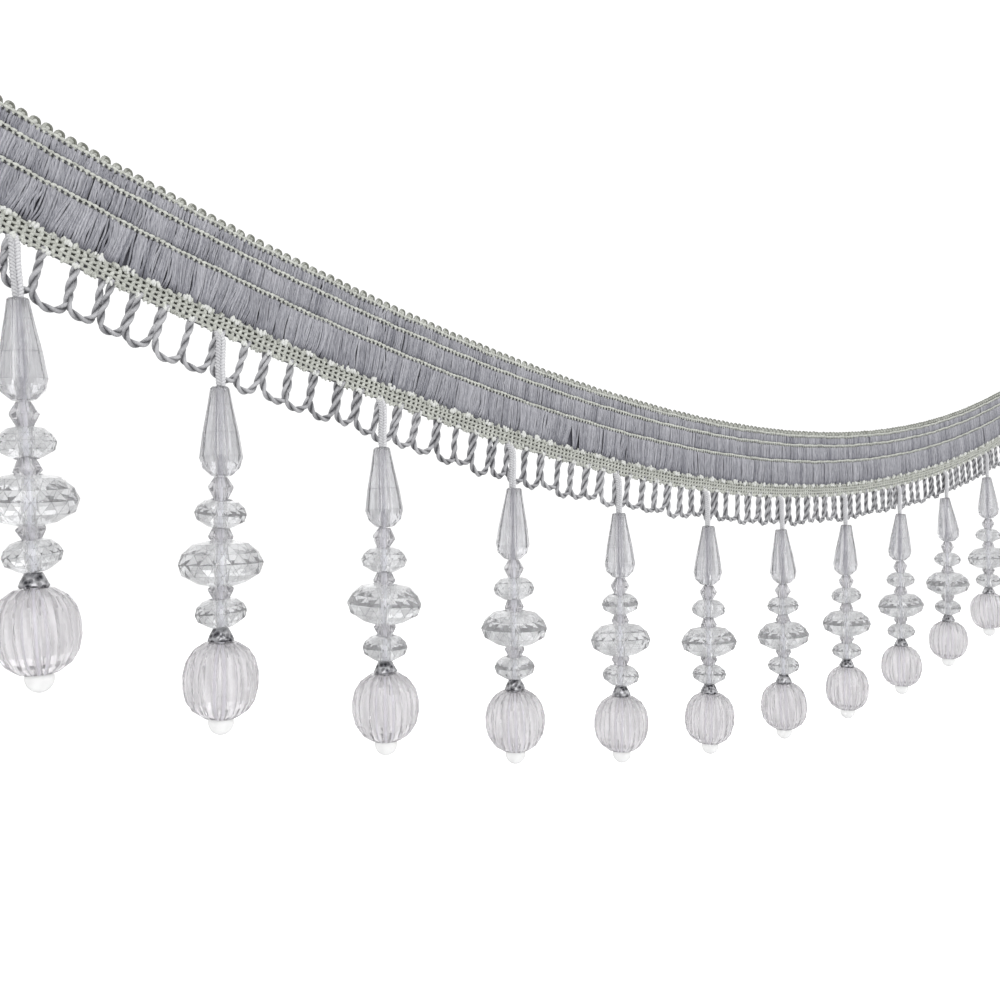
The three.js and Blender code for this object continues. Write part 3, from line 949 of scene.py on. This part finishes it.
# The lantern: radius (1 - (z / half)^power)^(1 / power), scooped between its ribs by the share
# dent |sin(ribs a / 2)|^0.8.
def lanternShell():
    share = np.sin(np.linspace(-1, 1, lantern["rows"]) * math.asin(lantern["cut"]))
    radius = lantern["radius"] * (1 - np.abs(share) ** lantern["power"]) ** (1 / lantern["power"])
    rows = [(lantern["middle"] + s * lantern["half"], r, 0.0) for s, r in zip(share, radius)]
    sides = lantern["ribs"] * lantern["points"]
    a = 2 * math.pi * np.arange(sides) / sides
    dents = 1 - lantern["dent"] * np.abs(np.sin(lantern["ribs"] * a / 2)) ** 0.8
    return (*beadShell(lowered(rows), sides, beadBore, dents), {})


def lowered(rows):
    return [(fall + beadTop, radius, phase) for fall, radius, phase in rows]


# The ball: radius (sin t cos a, sin t sin a, cos t), closed at its poles and cut flat against the lantern.
def ballMesh():
    t = math.pi * np.arange(1, ball["rings"]) / ball["rings"]
    a = 2 * math.pi * np.arange(ball["sides"]) / ball["sides"]
    ring = np.stack([np.outer(np.sin(t), np.cos(a)), np.outer(np.sin(t), np.sin(a)),
                     np.outer(np.cos(t), np.ones_like(a))], axis=-1).reshape(-1, 3)
    points = np.concatenate([ring, [[0, 0, 1], [0, 0, -1]]]) * ball["radius"]
    points[:, 2] = np.minimum(points[:, 2] - ball["middle"], -ball["top"]) - beadTop
    index = np.arange(len(ring)).reshape(len(t), len(a))
    across = np.roll(index, -1, axis=1)
    top, bottom = np.full(len(a), len(ring)), np.full(len(a), len(ring) + 1)
    return points, [
        np.stack([index[:-1], index[1:], across[1:], across[:-1]], axis=-1).reshape(-1, 4),
        np.stack([top, index[0], across[0]], axis=-1), np.stack([bottom, across[-1], index[-1]], axis=-1),
    ], {}


def makeBeads(number):
    def add(name, shells, finish, node=None, smooth=False):
        beads = joined([threaded(number, shell) for shell in shells])
        piece = makePiece(f"{name}_{number:02d}", beads, finish, smooth)
        if node:
            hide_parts(f"{node}_{number:02d}")

    def cutBead(rows, kind):
        return fanned(beadShell(lowered(rows), kind["sides"], beadBore), beadBore)

    shells = [cutBead(teardrop["rows"], teardrop)]
    add("dropBead", shells, beadMaterials["smoked drop"], "drop_bead")
    spacers = [cutBead(rondelleRows(*sizes), rondelles) for sizes in rondelles["sizes"]]
    add("rondelleBeads", spacers, beadMaterials["clear bead"], "spacer_beads")
    spacers = [cutBead(biconeRows(*sizes), bicones) for sizes in bicones["sizes"]]
    add("biconeBeads", spacers, beadMaterials["pearl bicone"])
    add("coneBead", [cutBead(cone["rows"], cone)], coneMaterial)
    add("lanternBead", [lanternShell()], beadMaterials["pearl lantern"], "lantern_bead")
    add("endBall", [ballMesh()], beadMaterials["milky ball"], "end_ball", True)


# The doubled thread that the beads are strung on: its two strands lie side by side and turn slowly, by the
# angle swing sin(wave z). It is darker in the drop bead, and pales over the lengths dropEnd.
thread = {
    "apart": 0.42, "radius": 0.40, "steps": 60, "sides": 6, "swing": 0.5, "wave": 0.13,
    "tone": 0.6, "darker": 2.2, "dropEnd": (18, 22),
}


def makeThread(number):
    z = -np.linspace(strings["cord"], strings["tail"] + beadTop, thread["steps"])
    turn = thread["swing"] * np.sin(z * thread["wave"] + number)
    meshes = []
    for side in (-1, 1):
        x, y = side * thread["apart"] * np.cos(turn), side * thread["apart"] * np.sin(turn)
        path = placed(number, np.stack([x, y, z], axis=-1))[None]
        tone = thread["tone"] + 0.3 * side
        meshes.append(tubes(path, thread["radius"], thread["sides"], (1, 0, 0), tone))
    points, faces, values = joined(meshes)
    values["tone"] -= thread["darker"] * (1 - ease(values["along"], *thread["dropEnd"]))
    makePiece(f"thread_{number:02d}", (points, faces, values), threadMaterial)


for number in range(1, trim["pendants"] + 1):
    makeHangingCord(number)
    makeBeads(number)
    makeThread(number)
# The binding lines' marks of painted shadow, as one piece.
makePiece("linePinchShadows", joined(pinchShadows), pinchShadowMaterial)
print("pendants and dips made")

# Soft studio light: a white sweep, with darker stripes that only the beads' glass and gloss can see.
studio = {
    "white": 1.1, "soft": 0.82, "stripes": 0.18, "stripeCount": 7.0,
    "lamps": {
        "key": {"place": (-700, -900, 650), "size": 0.7, "power": 4.0},
        "fill": {"place": (500, -900, 150), "size": 0.9, "power": 1.5},
        "rim": {"place": (100, 700, 500), "size": 0.8, "power": 1.0},
    },
    "aim": (0, 0, -50), "floorFall": -450.0, "floorRadius": 4000, "floorSides": 64,
}


def setStudio():
    world = bpy.data.worlds.new("studio")
    bpy.context.scene.world = world
    world.use_nodes = True
    sweep = Finish(world.node_tree)
    direction = sweep.node("ShaderNodeTexCoord", output="Generated")
    split = sweep.node("ShaderNodeSeparateXYZ", {}, {0: direction})
    x, y, z = (Wire(sweep, split.socket.node.outputs[k]) for k in range(3))
    stripes = sweep.sine(sweep.maths("ARCTAN2", y, x) * studio["stripeCount"] + z * 5.0)
    soft = sweep.clamped(studio["soft"] + stripes * studio["stripes"] - z * z * 0.25)
    camera = sweep.node("ShaderNodeLightPath", output="Is Camera Ray")
    level = camera * studio["white"] + (1.0 - camera) * soft
    background = sweep.node("ShaderNodeBackground", {}, {"Color": (1, 1, 1, 1), "Strength": level})
    sweep.node("ShaderNodeOutputWorld", {}, {"Surface": background})
    bpy.context.scene.view_settings.view_transform = "Standard"


def setLamps():
    for name, lamp in studio["lamps"].items():
        light = bpy.data.lights.new(name, "AREA")
        light.size, light.energy = lamp["size"], lamp["power"]
        stand = bpy.data.objects.new(name, light)
        stand.location = Vector(lamp["place"]) * mm
        aim = Vector(studio["aim"]) * mm - stand.location
        stand.rotation_euler = aim.to_track_quat("-Z", "Y").to_euler()
        bpy.context.collection.objects.link(stand)


def makeFloor():
    material, finish = newFinish("pale floor")
    grain = finish.noise(finish.place(), 4.0)
    finish.shaded({
        "Base Color": finish.mix(grain, grey(0.86), grey(0.9)), "Roughness": 0.9,
        "Emission Color": (1, 1, 1, 1), "Emission Strength": 0.9,
    })
    sides, radius = studio["floorSides"], studio["floorRadius"]
    angle = 2 * math.pi * np.arange(sides) / sides
    height = np.full(sides, studio["floorFall"])
    points = np.stack([radius * np.cos(angle), radius * np.sin(angle), height], axis=-1)
    mesh = bpy.data.meshes.new("floor")
    mesh.from_pydata([tuple(p) for p in points * mm], [], [tuple(range(sides))])
    mesh.materials.append(material)
    floor = bpy.data.objects.new("floor", mesh)
    bpy.context.collection.objects.link(floor)
    floor.visible_transmission = floor.visible_glossy = floor.visible_diffuse = False


setStudio()
setLamps()
makeFloor()
print("studio set")
